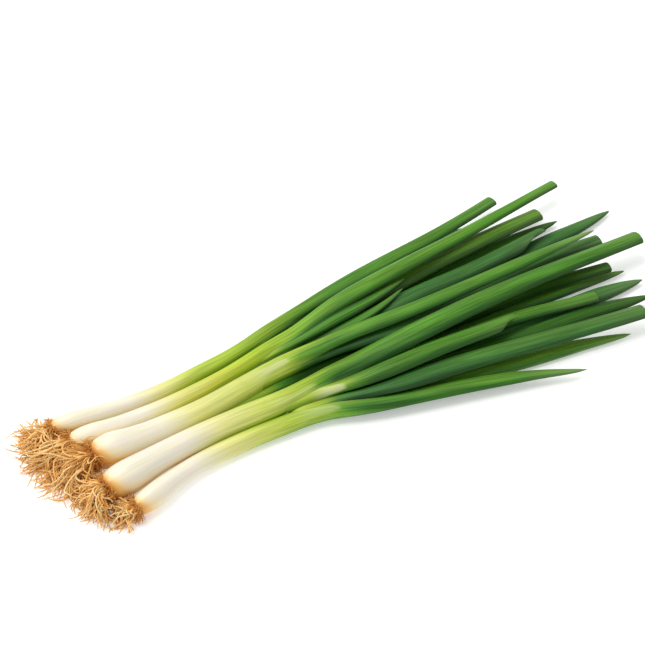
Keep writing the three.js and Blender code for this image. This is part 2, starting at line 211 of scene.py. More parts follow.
waxySkin = {
    "vein": (0.8 * mm, 30 * mm),     # pitch and length of the veins, drawn coarser than they grow so that they show
    "streak": (2.4 * mm, 70 * mm),   # of the broader streaks
    "patch": (9 * mm, 45 * mm),      # and of the slow patches
    "veinShade": (0.64, 1.38),       # darkest and lightest of the veins, as shares of the colour
    "streakShade": (0.78, 1.24),     # and of the streaks
    "membrane": "#d3d8a4",
    # painted warm light: the glow of the root end, straw to orange, as lit by the roots and through the tissue
    "rootEnd": [(0.0, "#f2e6c4"), (0.35, "#eecd88"), (0.7, "#e2a248"), (1.0, "#b87226")],
    "moist": (0.6, 0.06),            # wet gloss on the white and on the green
    "juicy": (0.45, 0.05),           # how much light goes into the white and into the green
    "depth": 3.5 * mm,
}


def onionSkin(name, greens, shine):
    # Living onion tissue under a thin waxy skin: white and juicy at the bulb, green where it saw light.
    # It gives the eye soft broad highlights, fine lengthwise veins and a slow change of colour.
    material, tree, shader = newMaterial(name)
    grain = addNode(tree, "ShaderNodeAttribute", {"attribute_name": "grain"}).outputs["Vector"]
    # the colour mark read here runs from white to green and also carries painted shade: the lower sides and the seams
    # are painted a deeper green
    ripeAndShade = addNode(tree, "ShaderNodeAttribute", {"attribute_name": "ripeAndShade"}).outputs["Fac"]
    warm = addNode(tree, "ShaderNodeAttribute", {"attribute_name": "warm"}).outputs["Fac"]
    pale = addNode(tree, "ShaderNodeAttribute", {"attribute_name": "pale"}).outputs["Fac"]
    stretched = {}
    for key in ("vein", "streak", "patch"):
        pitch, length = waxySkin[key]
        place = addNode(tree, "ShaderNodeMapping", {"vector_type": "POINT"}, Vector=grain,
                        Scale=(1 / pitch, 1 / pitch, 1 / length))
        stretched[key] = addNode(tree, "ShaderNodeTexNoise", Vector=place.outputs["Vector"], Scale=1.0,
                                 Detail=2.0, Roughness=0.55).outputs["Fac"]
    # the colour runs from bulb to tip, a little further along some veins than others
    shifted = addNode(tree, "ShaderNodeMath", {"operation": "MULTIPLY_ADD"}, in_0=stretched["streak"], in_1=0.12,
                      in_2=ripeAndShade)
    shifted = addNode(tree, "ShaderNodeMath", {"operation": "MULTIPLY_ADD"}, in_0=stretched["patch"], in_1=0.10,
                      in_2=shifted.outputs[0])
    shifted = addNode(tree, "ShaderNodeMath", {"operation": "SUBTRACT"}, in_0=shifted.outputs[0], in_1=0.11)
    base = addNode(tree, "ShaderNodeValToRGB", stops=greens, Fac=shifted.outputs[0]).outputs["Color"]
    veinShade = addNode(tree, "ShaderNodeMapRange", Value=stretched["vein"], From_Min=0.3, From_Max=0.7,
                        To_Min=waxySkin["veinShade"][0], To_Max=waxySkin["veinShade"][1]).outputs["Result"]
    streakShade = addNode(tree, "ShaderNodeMapRange", Value=stretched["streak"], From_Min=0.3, From_Max=0.7,
                          To_Min=waxySkin["streakShade"][0], To_Max=waxySkin["streakShade"][1]).outputs["Result"]
    both = addNode(tree, "ShaderNodeMath", {"operation": "MULTIPLY"}, in_0=veinShade, in_1=streakShade).outputs[0]
    # white tissue shows its veins much less than green
    strength = addNode(tree, "ShaderNodeMapRange", Value=ripeAndShade, From_Min=0.1, From_Max=0.8, To_Min=0.14,
                       To_Max=1.0).outputs["Result"]
    shade = addNode(tree, "ShaderNodeMix", {"data_type": "FLOAT"}, in_0=strength, in_2=1.0, in_3=both).outputs[0]
    veined = addNode(tree, "ShaderNodeVectorMath", {"operation": "SCALE"}, in_0=base, Scale=shade).outputs[0]
    membrane = addNode(tree, "ShaderNodeMix", {"data_type": "RGBA"}, in_0=pale, in_6=veined,
                       in_7=hexColour(waxySkin["membrane"])).outputs[2]
    # painted warm light: the root end, and the white in the seams between onions, are painted warm as if lit by the
    # roots and through the tissue
    glow = addNode(tree, "ShaderNodeValToRGB", stops=waxySkin["rootEnd"], Fac=warm).outputs["Color"]
    warmShare = addNode(tree, "ShaderNodeMapRange", Value=warm, From_Min=0.02, From_Max=0.5).outputs["Result"]
    colour = addNode(tree, "ShaderNodeMix", {"data_type": "RGBA"}, in_0=warmShare, in_6=membrane,
                     in_7=glow).outputs[2]
    tree.links.new(colour, shader.inputs["Base Color"])
    rough = addNode(tree, "ShaderNodeMapRange", Value=stretched["patch"], To_Min=0.32, To_Max=0.5)
    tree.links.new(rough.outputs["Result"], shader.inputs["Roughness"])
    shader.inputs["IOR"].default_value = 1.42
    shader.inputs["Specular IOR Level"].default_value = shine
    # the white part is thick, moist and translucent, the green part hardly is
    moist = addNode(tree, "ShaderNodeMapRange", Value=ripeAndShade, From_Min=0.1, From_Max=0.5, To_Min=waxySkin["moist"][0],
                    To_Max=waxySkin["moist"][1])
    tree.links.new(moist.outputs["Result"], shader.inputs["Coat Weight"])
    shader.inputs["Coat Roughness"].default_value = 0.16
    juicy = addNode(tree, "ShaderNodeMapRange", Value=ripeAndShade, From_Min=0.1, From_Max=0.6, To_Min=waxySkin["juicy"][0],
                    To_Max=waxySkin["juicy"][1])
    tree.links.new(juicy.outputs["Result"], shader.inputs["Subsurface Weight"])
    shader.inputs["Subsurface Radius"].default_value = (1.0, 0.85, 0.55)
    shader.inputs["Subsurface Scale"].default_value = waxySkin["depth"]
    veinBump = addNode(tree, "ShaderNodeBump", Height=stretched["vein"], Strength=0.35, Distance=0.05 * mm)
    streakBump = addNode(tree, "ShaderNodeBump", Height=stretched["streak"], Strength=0.6, Distance=0.22 * mm,
                         Normal=veinBump.outputs["Normal"])
    tree.links.new(streakBump.outputs["Normal"], shader.inputs["Normal"])
    return material


whiteToGreen = [(0.0, "#ebe4d3"), (0.22, "#dcd98c"), (0.40, "#c0ca5c"), (0.58, "#9ab434")]
greens = {
    "midGreen": whiteToGreen + [(0.74, "#628e22"), (0.86, "#447a1e"), (0.98, "#215010")],
    "yellowGreen": [(0.0, "#ebe4d3"), (0.22, "#ddd980"), (0.40, "#c0c348"), (0.58, "#a2b82c"), (0.74, "#6e9c26"),
                    (0.86, "#4b821e"), (0.98, "#2b5a12")],
    "brightGreen": whiteToGreen + [(0.74, "#6a9628"), (0.86, "#4e8425"), (0.98, "#285b13")],
    "deepGreen": whiteToGreen + [(0.74, "#436d1a"), (0.86, "#2a5814"), (0.98, "#12380a")],
    "blueGreen": whiteToGreen + [(0.74, "#4d7c2a"), (0.86, "#36682a"), (0.98, "#1a4414")],
    "oliveGreen": whiteToGreen + [(0.74, "#688e20"), (0.86, "#4d7a1c"), (0.98, "#2e5410")],
    # painted shade: a near-black green for a leaf that lies deep in shade between the stems
    "shadeDarkGreen": whiteToGreen[:3] + [(0.58, "#88a02a"), (0.74, "#36641e"), (0.86, "#183c0a"), (0.98, "#0a2204")],
}
shines = {"shadeDarkGreen": 0.03, "deepGreen": 0.2}
skins = {key: onionSkin("waxyOnionSkin_" + key, stops, shines.get(key, 0.33))
         for key, stops in greens.items()}


# ---- stems and leaves ----

# for each onion: its skin, glow (how strong the painted warm light at its root end is), and places in mm along x,
# where the white ends, where the sheath is green, where it forks and where the outer leaf is fully green. shorter is
# how many mm later its bulb starts than its frame, flankShade how much deeper a green its lower sides are painted, as
# painted shade, and fuller (mm) and settle (mm sideways) are each for the shaft and for the bulb
onions = {
    1: {"skin": "midGreen", "glow": 0.85, "whiteTo": -126, "sheathGreen": -82, "fork": -38, "leafGreen": -18,
        "shorter": 3.5},
    2: {"skin": "yellowGreen", "glow": 0.65, "whiteTo": -124, "sheathGreen": -64, "fork": -42, "leafGreen": -14,
        "fuller": (0.1, 0.6), "settle": (0.0, -1.0), "flankShade": 0.05},
    3: {"skin": "brightGreen", "glow": 1.25, "whiteTo": -120, "sheathGreen": -36, "fork": -42, "leafGreen": -8,
        "fuller": (0.7, 0.0), "settle": (-0.6, 0.0)},
    4: {"skin": "midGreen", "glow": 1.1, "whiteTo": -114, "sheathGreen": -48, "fork": -38, "leafGreen": -18,
        "fuller": (0.6, 0.1), "settle": (-0.4, 0.0), "flankShade": 0.06},
    5: {"skin": "brightGreen", "glow": 0.85, "whiteTo": -116, "sheathGreen": -56, "fork": -32, "leafGreen": -16,
        "fuller": (0.4, 0.2)},
}

# how each leaf looks: its skin and its tip, creases as (angle, height mm, width rad), a pale membrane as (angle,
# first x mm, last x mm, width rad, strength), base (least half width of its base, mm), paleTo (where it stops
# being pale), young (how green it is before that), deeper (how much darker it is painted after that, as painted
# shade), lighterPastFork (how much lighter it is painted well past the fork), keel (2 is an oval, less has flatter
# faces), tipPale (how pale it is at its tip), shorter (how many mm sooner it ends than its frame), slide (how many
# mm a slanted end draws back), and wide and over (how many times as wide as its frame, and how many mm further over
# it lies, past the fork)
leafLooks = {
    "onion_1_leaf_1": {"skin": "midGreen", "base": 2.4, "wide": 1.3, "over": -0.4},
    "onion_1_leaf_2": {"skin": "oliveGreen", "tip": "round", "shorter": 3, "wide": 1.12, "over": -0.3,
                       "creases": [(95, 0.3, 0.12)], "keel": 1.9},
    "onion_2_leaf_1": {"skin": "midGreen", "creases": [(110, 0.3, 0.12)], "base": 2.6, "paleTo": -34},
    "onion_2_leaf_2": {"skin": "midGreen", "base": 3.4, "paleTo": -24},
    "onion_2_leaf_3": {"skin": "deepGreen", "wide": 1.3},
    "onion_3_leaf_1": {"skin": "blueGreen", "tip": "slant", "wide": 1.15, "over": -0.6,
                       "creases": [(70, 0.3, 0.12)], "keel": 1.75},
    "onion_3_leaf_2": {"skin": "blueGreen", "wide": 1.3, "over": -0.6},
    "onion_3_leaf_3": {"skin": "blueGreen", "tip": "round", "base": 3.8, "paleTo": -18, "wide": 1.25, "over": -1.0},
    # onion_3_leaf_4 is painted near-black and deeper where it lies in shade between the stems, as painted shade, and
    # lighter again far out where it comes out of it
    "onion_3_leaf_4": {"skin": "shadeDarkGreen", "tip": "round", "base": 3.6, "young": 0.64, "paleTo": -42,
                       "deeper": 0.12, "lighterPastFork": 0.24, "wide": 1.1},
    "onion_4_leaf_1": {"skin": "midGreen", "tip": "slant", "slide": 12, "base": 4.2,
                       "creases": [(75, 0.5, 0.14), (48, 0.3, 0.1)], "paleTo": -17,
                       "membrane": (128, -40, -17, 1.3, 0.62), "keel": 1.7},
    "onion_4_leaf_2": {"skin": "midGreen", "tip": "round", "creases": [(100, 0.35, 0.12)], "keel": 1.9},
    "onion_4_leaf_3": {"skin": "midGreen", "tipPale": 0.1, "wide": 1.1, "over": -0.3},
    "onion_5_leaf_1": {"skin": "blueGreen", "tip": "round", "wide": 1.2, "over": 0.8, "lighterPastFork": 0.06,
                       "creases": [(92, 0.4, 0.12)], "base": 3.2, "paleTo": -28, "keel": 1.75},
    "onion_5_leaf_2": {"skin": "blueGreen", "base": 3.2, "tipPale": 0.08, "wide": 1.12, "over": -0.8},
    "onion_5_leaf_3": {"skin": "deepGreen", "wide": 1.15, "over": -0.6},
    # onion_5_leaf_4 is painted lighter far out, as painted light, where it lies in another leaf's shadow
    "onion_5_leaf_4": {"skin": "brightGreen", "base": 2.6, "lighterPastFork": 0.07, "tipPale": 0.1},
    "onion_1_outer_leaf": {"tip": "round", "wide": 1.3, "over": -0.7},
    "onion_2_outer_leaf": {"tip": "round", "wide": 1.2, "over": -0.3, "creases": [(140, 0.2, 0.2)], "keel": 2.0},
    "onion_3_outer_leaf": {"wide": 1.1, "creases": [(70, 0.3, 0.3)], "membrane": (108, -68, -35, 0.85, 0.5),
                           "keel": 1.8, "tipPale": 0.14},
    "onion_4_outer_leaf": {"tip": "round", "wide": 1.1, "creases": [(142, 0.6, 0.16), (60, 0.3, 0.2)],
                           "membrane": (125, -68, -32, 0.6, 0.32), "keel": 1.65},
    "onion_5_outer_leaf": {"creases": [(128, 0.4, 0.15), (75, 0.35, 0.15)], "membrane": (112, -56, -26, 1.1, 0.3),
                           "keel": 1.75, "tipPale": 0.14},
}

stemSkin = {
    "plateShare": 0.52,         # size of the root end, as a share of the bulb's
    "ripeness": [0.02, 0.22, 0.52, 0.74, 0.84],     # colour from the white to the outer leaf's full green
    "ribs": 30,                 # fine ribs round the shaft
    "ribHeight": 0.02 * mm,
    "flutes": 0.10 * mm,        # slow unevenness of the outer layer
    "shoulder": 13 * mm,        # length over which the bulb is drawn in to its root plate
    "warmTop": 2.8 * mm,        # how far the painted warm light of the root end reaches on top
    "warmFlank": 10 * mm,       # and on the lower side, towards the roots that light it
    "creviceShade": 2.6 * mm,        # how far the painted shade and painted warm light reach out of the seams between the onions
    "paintedFlankShade": 0.2,           # painted shade: how much deeper a green the lower sides of the sheath are painted than its top
}

leafBlade = {
    "sides": 80,
    "ringStep": 2.4 * mm,
    "roundTip": 1.5 * mm,       # length of the rounding at a cut end
    "sharpTip": 5 * mm,         # a pointed tip is drawn out to nothing over this
    "slantReach": 34 * mm,      # length over which a slanted end draws back on its lower side
    "ribs": 26,
    "ribHeight": 0.035 * mm,
    "flutes": 0.14 * mm,
    "lip": 0.2 * mm,            # thickened margin of a sheath where an inner leaf comes out
    "membrane": 0.25 * mm,      # thickness of the pale membrane over a fork
    "tuck": 18 * mm,            # how far an inner leaf reaches back into the sheath
    "tenSides": 0.951,          # the outer leaf's frame has ten sides, so it measures this much narrower
    "keepBack": {"point": 0.6 * mm, "round": 4 * mm, "slant": 9 * mm},   # slices stop this far short of the tip
    "swellWaves": (37 * mm, 61 * mm, 97 * mm),      # lengths of the slow unevenness
    "ribWaves": (23 * mm, 41 * mm),                 # and of how the ribs come and go
    "freeAfter": 20 * mm,       # a blade is widened and laid over from this far past the fork
    "freeOver": 50 * mm,        # and fully so after this much more
    "opensOver": 45,            # mm past the fork over which a round sheath opens into a blade
    "shadeSideTurn": 200,            # degrees round the leaf to its side painted in shade
    # how much deeper a green that side is painted, as painted shade
    "paintedShadeSide": 0.15,
    "seamShadeReach": 1.6 * mm,      # how far the painted shade reaches from where leaves touch
    # how much deeper a green is painted there, as painted shade
    "seamShadeGreen": 0.16,
    "dryTip": 45 * mm,
}
turn = np.linspace(0, 2 * np.pi, leafBlade["sides"], endpoint=False)


def tipShape(tip):
    # how the last rings close: shares of the ending's length and of the leaf's size
    bend = np.linspace(0, np.pi / 2, 8)[1:]
    closing = np.cos(bend) * 0.92 + 0.08 if tip == "point" else 0.66 + 0.34 * np.cos(bend)
    return np.sin(bend), closing


def bladeRings(run, x, closing, look, seed, opened, ribs, ribHeight, flutes):
    # rings of a stem or leaf with its ribs, flutes and creases; opened is 0 in a round sheath and 1 in a blade
    middle, side, up, ahead = along(run, x)
    halfWidth, halfThick = at(run, "halfWidth", x) * closing, at(run, "halfThick", x) * closing
    s = (x - x[0])[:, None]
    fullness = 2.0 + (look.get("keel", 2.2) - 2.0) * opened[:, None]
    across = np.sign(np.cos(turn)) * np.abs(np.cos(turn)) ** (2 / fullness)
    upward = np.sign(np.sin(turn)) * np.abs(np.sin(turn)) ** (2 / fullness)
    swell = sum(wander(seed * 11 + k, leafBlade["swellWaves"], flutes / 3)(s) * np.cos(k * turn + seed)
                for k in (2, 3, 5))
    swell = swell + ribHeight * np.cos(ribs * turn + seed) * (0.6 + 0.4 * wander(seed, leafBlade["ribWaves"], 1)(s))
    for angle, height, width in look.get("creases", []):
        off = np.abs((turn - math.radians(angle) + np.pi) % (2 * np.pi) - np.pi)
        ridge = np.exp(-off / width) - 0.5 * np.exp(-((off - 2.6 * width) / width) ** 2)
        swell = swell + mm * height * ridge * opened[:, None]
    swell = swell * (halfThick / halfThick.max())[:, None]
    acrossOff = halfWidth[:, None] * across + swell * np.cos(turn)
    upOff = halfThick[:, None] * upward + swell * np.sin(turn)
    rings = middle[:, None] + side[:, None] * acrossOff[..., None] + up[:, None] * upOff[..., None]
    rings[..., 2] = np.maximum(rings[..., 2], 0)
    return rings, ahead


def grainOf(x, rows, offset):
    # skin coordinates for the veins: round the leaf at a nominal size, and along it
    nominal = 5 * mm
    shape = (rows, len(turn))
    return np.stack([np.broadcast_to(nominal * np.cos(turn), shape), np.broadcast_to(nominal * np.sin(turn), shape),
                     np.broadcast_to(x[:, None], shape)], axis=-1) + offset


def nearness(rings, run, reach):
    # 1 on the skin of another leaf's run and fading over reach away from it
    x = np.clip(rings[..., 0], run["x"][0], run["x"][-1])
    y = (rings[..., 1] - at(run, "y", x)) / at(run, "halfWidth", x)
    z = (rings[..., 2] - at(run, "z", x)) / at(run, "halfThick", x)
    gap = (np.sqrt(y ** 2 + z ** 2) - 1) * (at(run, "halfWidth", x) + at(run, "halfThick", x)) / 2
    beyond = np.abs(rings[..., 0] - x)
    return np.exp(-(gap / reach) ** 2 - (beyond / (4 * mm)) ** 2)


def membraneOn(x, look):
    # a pale tongue that narrows to its tip, 1 on it and 0 off it
    angle, first, last, width, strength = look.get("membrane", (0, 0, 1, 0, 0))
    off = np.abs((turn - math.radians(angle) + np.pi) % (2 * np.pi) - np.pi)[None]
    t = ((x / mm - first) / (last - first))[:, None]
    edge = width * np.sqrt(np.clip(1 - t, 0, 1)) + 0.1 * np.sin(9 * t)
    return strength * smooth((edge - off) / 0.3) * smooth(t / 0.6) * smooth((1 - t) / 0.06)


def paintedShadeSide():
    # painted shade: a blade is painted a deeper green on one side of its middle vein and underneath, where less light
    # falls
    return leafBlade["paintedShadeSide"] * smooth((np.cos(turn - math.radians(leafBlade["shadeSideTurn"])) + 0.1) / 0.8)


def leafSeamShade(rings, node):
    # painted shade: 1 where a leaf touches its neighbours, where it is painted a deeper green for the shade between
    # them
    seamShade = np.zeros(rings.shape[:2])
    for other, run in leafRuns.items():
        if other != node:
            seamShade = np.maximum(seamShade, nearness(rings, run, leafBlade["seamShadeReach"]))
    return seamShade


def tipPaleness(x, endX, look):
    # the last of a leaf is paler, where it begins to dry
    drying = smooth((x - endX + leafBlade["dryTip"]) / leafBlade["dryTip"])
    return (look.get("tipPale", 0.04) * drying)[:, None] * np.ones(len(turn))


def cutBack(run):
    # a round end square to a leaf that runs askew ends this much sooner along x
    return abs(run["y"][-1] - run["y"][-8]) / (run["x"][-1] - run["x"][-8]) * run["halfWidth"][-1] * 0.7


def spreadBlade(run, node):
    # widens the free part of a blade and lays it a little over
    look = leafLooks[node]
    fork = onions[int(node[6])]["fork"] * mm
    free = smooth((run["x"] - fork - leafBlade["freeAfter"]) / leafBlade["freeOver"])
    run["halfWidth"] = run["halfWidth"] * (1 + (look.get("wide", 1) - 1) * free)
    run["y"] = run["y"] + look.get("over", 0) * mm * free


def innerRun(node):
    # an inner leaf's run starts inside the sheath and comes out of it
    look = leafLooks[node]
    low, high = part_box(node)
    tip = look.get("tip", "point")
    run = runFrom(sliceNode(node, low.x + 0.6 * mm, high.x - leafBlade["keepBack"][tip]), low.x, high.x)
    number = int(node[6])
    fork = onions[number]["fork"] * mm
    spreadBlade(run, node)
    base = look.get("base", 1.6) * mm * smooth((fork + 70 * mm - run["x"]) / (60 * mm))
    run["halfWidth"], run["halfThick"] = np.maximum(run["halfWidth"], base), np.maximum(run["halfThick"], base * 0.85)
    sheath = outerRuns[number][0]
    back = low.x - leafBlade["tuck"] * np.linspace(1, 0, 8, endpoint=False)
    t = smooth((back - back[0]) / leafBlade["tuck"])
    tucked = {"x": np.concatenate([back, run["x"]])}
    for key in ("y", "z"):
        offset = run[key][0] - at(sheath, key, low.x)
        tucked[key] = np.concatenate([at(sheath, key, back) + offset * (0.3 + 0.7 * t), run[key]])
    for key in ("halfWidth", "halfThick"):
        tucked[key] = np.concatenate([run[key][0] * (0.5 + 0.5 * t), run[key]])
    return tucked


def growInnerLeaf(node, run, seed):
    look = leafLooks[node]
    tip = look.get("tip", "point")
    fork = onions[int(node[6])]["fork"]
    endX = run["x"][-1] - (cutBack(run) if tip == "round" else 0) - look.get("shorter", 0) * mm
    ending = leafBlade["roundTip"] if tip == "round" else leafBlade["sharpTip"]
    body = np.linspace(run["x"][0], endX - ending, int((endX - ending - run["x"][0]) / leafBlade["ringStep"]))
    places, closing = tipShape("round" if tip == "round" else "point")
    x = np.concatenate([body, endX - ending + ending * places])
    opened = smooth((x / mm - fork) / leafBlade["opensOver"])
    rings, ahead = bladeRings(run, x, np.concatenate([np.ones(len(body)), closing]), look, seed, opened,
                              leafBlade["ribs"], leafBlade["ribHeight"], leafBlade["flutes"])
    if tip == "slant":
        near = smooth((x - (endX - leafBlade["slantReach"])) / leafBlade["slantReach"])
        drawn = near[:, None] * look.get("slide", 20) * mm * (0.5 - 0.5 * np.cos(turn - 0.3))
        rings = rings - ahead[:, None] * drawn[..., None]
    rows = len(x)
    pale = np.maximum(membraneOn(x, look), tipPaleness(x, endX, look))
    greenFrom = look.get("paleTo", fork - 30)
    young, full = look.get("young", 0.5), 0.84 + look.get("deeper", 0)
    # painted shade: the lower side of the blade, and past the fork the places where it touches other leaves, are
    # painted a deeper green
    ripeAndShade = young + (full - young) * smooth((x / mm - greenFrom + 18) / 36)[:, None] + paintedShadeSide()
    ripeAndShade = ripeAndShade - look.get("lighterPastFork", 0) * smooth((x / mm - fork - 60) / 60)[:, None]
    ripeAndShade = ripeAndShade + leafBlade["seamShadeGreen"] * leafSeamShade(rings, node) * smooth((x / mm - fork) / 15)[:, None]
    marks = {"grain": grainOf(x, rows, seed * 0.13), "ripeAndShade": ripeAndShade, "warm": np.zeros((rows, len(turn))), "pale": pale}
    addPiece(node.replace("leaf", "green_leaf"), ringMesh(node, rings, marks), skins[look["skin"]], "leaf", node)


def growStemAndOuterLeaf(number, innerRuns):
    # the outer leaf's sheath is the stem's own outside, so both come from one run and share a ring at the neck
    onion, seed = onions[number], number * 7
    stemNode, leafNode = f"onion_{number}_stem", f"onion_{number}_outer_leaf"
    look = leafLooks[leafNode]
    tip = look.get("tip", "point")
    run, neck = outerRuns[number]
    rootEnd, endX = run["x"][0], run["x"][-1]
    if tip != "point":
        endX -= cutBack(run)
    ending = leafBlade["sharpTip"] if tip == "point" else leafBlade["roundTip"]
    bulb = rootEnd + stemSkin["shoulder"] * (1 - np.cos(np.linspace(0, np.pi / 2, 15)))
    shaft = np.linspace(bulb[-1], neck, int((neck - bulb[-1]) / leafBlade["ringStep"]))[1:]
    blade = np.linspace(neck, endX - ending, int((endX - ending - neck) / leafBlade["ringStep"]))[1:]
    places, closing = tipShape(tip)
    x = np.concatenate([bulb, shaft, blade, endX - ending + ending * places])
    opened = smooth((x / mm - onion["fork"] + 4) / leafBlade["opensOver"])
    size = np.concatenate([np.ones(len(x) - len(closing)), closing])
    rings = bladeRings(run, x, size, look, seed, opened, stemSkin["ribs"], stemSkin["ribHeight"],
                       stemSkin["flutes"])[0]
    # margins of the sheath, thick and pale, where the inner leaves come out
    middle = along(run, x)[0][:, None]
    nearFork = (smooth((x / mm - onion["fork"] + 12) / 10) * smooth((onion["fork"] + 40 - x / mm) / 20))[:, None]
    margin = np.zeros(rings.shape[:2])
    for inner in innerRuns:
        margin = np.maximum(margin, nearness(rings, inner, 0.9 * mm) * nearFork)
    outward = rings - middle
    outward /= np.linalg.norm(outward, axis=-1)[..., None] + 1e-9
    tongue = membraneOn(x, look)
    rings = rings + outward * (margin * leafBlade["lip"] + tongue * leafBlade["membrane"])[..., None]
    rings[..., 2] = np.maximum(rings[..., 2], 0)
    rows = len(x)
    ripeAndShade = np.interp(x / mm, [onion["whiteTo"], onion["whiteTo"] + 22, onion["sheathGreen"], onion["leafGreen"],
                              onion["leafGreen"] + 28], stemSkin["ripeness"])[:, None]
    # painted shade: the lower side of the opened blade is painted a deeper green
    ripeAndShade = ripeAndShade + paintedShadeSide() * opened[:, None]
    # painted shade: the lower sides of the sheath are painted a deeper green than its top
    flankShade = smooth(0.35 - np.sin(turn)) * onion.get("flankShade", stemSkin["paintedFlankShade"])
    ripeAndShade = ripeAndShade + flankShade * smooth((x / mm - onion["whiteTo"] - 10) / 40)[:, None]
    # painted warm light: the root end's warm glow is painted further along its lower side, towards the roots
    low = (0.5 - 0.5 * np.sin(turn + 1.1)) ** 2
    reach = stemSkin["warmTop"] + (stemSkin["warmFlank"] - stemSkin["warmTop"]) * low
    warm = np.exp(-(x - rootEnd)[:, None] / reach) * 1.05
    # painted shade and painted warm light in the seams between onions: the white is painted warmer, as if lit through
    # the tissue, and the green is painted deeper
    seamShade = np.zeros(rings.shape[:2])
    for other in (number - 1, number + 1):
        if other in outerRuns:
            seamShade = np.maximum(seamShade, nearness(rings, outerRuns[other][0], stemSkin["creviceShade"]))
    greener = smooth((x / mm + 125) / 35)[:, None]
    warm = np.clip(warm * onion["glow"] + 0.4 * seamShade * (1 - greener), 0, 1)
    ripeAndShade = ripeAndShade + 0.15 * seamShade * greener * (1 - opened[:, None])
    pastFork = smooth((x / mm - onion["fork"] - 10) / 15)[:, None]
    # painted shade: past the fork the outer leaf is painted a deeper green where it touches other leaves
    ripeAndShade = ripeAndShade + leafBlade["seamShadeGreen"] * leafSeamShade(rings, leafNode) * pastFork
    # past the tip of the membrane the green is deeper
    if "membrane" in look:
        angle, last = look["membrane"][0], look["membrane"][2]
        off = np.abs((turn - math.radians(angle + 10) + np.pi) % (2 * np.pi) - np.pi)
        beyond = smooth((x / mm - last + 9) / 16) * smooth((last + 50 - x / mm) / 40)
        ripeAndShade = ripeAndShade + 0.17 * beyond[:, None] * smooth((0.9 - off) / 0.7) * (1 - tongue)
    pale = np.maximum(np.maximum(margin * 0.12, tongue), tipPaleness(x, endX, look))
    marks = {"grain": grainOf(x, rows, number * 0.1), "ripeAndShade": ripeAndShade, "warm": warm, "pale": pale}
    split = len(bulb) + len(shaft) - 1
    stemMarks = {key: value[:split + 1] for key, value in marks.items()}
    leafMarks = {key: value[split:] for key, value in marks.items()}
    skin = skins[onion["skin"]]
    addPiece(f"onion_{number}_white_stem", ringMesh(stemNode, rings[:split + 1], stemMarks, sharpEnd=True), skin,
             "stem", stemNode)
    addPiece(f"onion_{number}_outer_green_leaf", ringMesh(leafNode, rings[split:], leafMarks, sharpStart=True), skin,
             "outer_leaf", leafNode)


def shoulderShape(t):
    # size of the bulb as a share of its fullest; t is 0 at its root end and 1 where the shoulder ends
    return stemSkin["plateShare"] + (1 - stemSkin["plateShare"]) * np.sqrt(1 - (1 - t) ** 2)


def outerRun(number):
    # one run from the root end to the outer leaf's tip, and where along it the stem ends
    stemNode, leafNode = f"onion_{number}_stem", f"onion_{number}_outer_leaf"
    stemLow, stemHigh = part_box(stemNode)
    leafLow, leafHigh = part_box(leafNode)
    neck = (stemHigh.x + leafLow.x) / 2
    keepBack = leafBlade["keepBack"][leafLooks[leafNode].get("tip", "point")]
    stem = sliceNode(stemNode, stemLow.x + reading["edge"], neck - reading["edge"])
    leaf = sliceNode(leafNode, neck + reading["edge"], leafHigh.x - keepBack)
    leaf[:, 3] /= leafBlade["tenSides"]
    run = runFrom(np.vstack([stem, leaf]), stemLow.x, leafHigh.x)
    spreadBlade(run, leafNode)
    # the bulb is drawn in to its root plate in a round shoulder
    rootEnd = stemLow.x + onions[number].get("shorter", 0) * mm
    full = at(run, "halfThick", rootEnd + stemSkin["shoulder"])
    t = np.clip((run["x"] - rootEnd) / stemSkin["shoulder"], 0, 1)
    shoulder = full * shoulderShape(t)
    for key in ("halfWidth", "halfThick"):
        run[key] = np.where(t < 1, shoulder, run[key])
    # some stems are a little fuller than their frame along the shaft and at the bulb, and lie a little over
    fuller = onions[number].get("fuller", (0, 0))
    bulbShare = smooth((rootEnd + 45 * mm - run["x"]) / (25 * mm))
    settle = onions[number].get("settle", (0, 0))
    toNeck = smooth((neck + 20 * mm - run["x"]) / (20 * mm)) * mm
    more = (fuller[0] * (1 - bulbShare) + fuller[1] * bulbShare) * toNeck
    for key in ("halfWidth", "halfThick"):
        run[key] = run[key] + more
    run["y"] = run["y"] + (settle[0] * (1 - bulbShare) + settle[1] * bulbShare) * toNeck
    full += fuller[1] * mm
    dense = rootEnd + stemSkin["shoulder"] * (1 - np.cos(np.linspace(0, np.pi / 2, 24)))
    places = np.unique(np.concatenate([dense, run["x"][run["x"] > rootEnd]]))
    t = np.clip((places - rootEnd) / stemSkin["shoulder"], 0, 1)
    sizes = {key: np.where(t < 1, full * shoulderShape(t), at(run, key, places))
             for key in ("halfWidth", "halfThick")}
    return {"x": places, "y": at(run, "y", places), "z": at(run, "z", places), **sizes}, neck


outerRuns = {number: outerRun(number) for number in onions}
leafRuns = {node: innerRun(node) for node in leafLooks if "outer" not in node}
for number, (run, neck) in outerRuns.items():
    leafRuns[f"onion_{number}_outer_leaf"] = {key: values[run["x"] > neck] for key, values in run.items()}
for number in onions:
    inner = [node for node in leafRuns if node.startswith(f"onion_{number}_leaf")]
    growStemAndOuterLeaf(number, [leafRuns[node] for node in inner])
    for place, node in enumerate(inner):
        growInnerLeaf(node, leafRuns[node], number * 10 + place)
print("stems and leaves grown")


# ---- roots ----

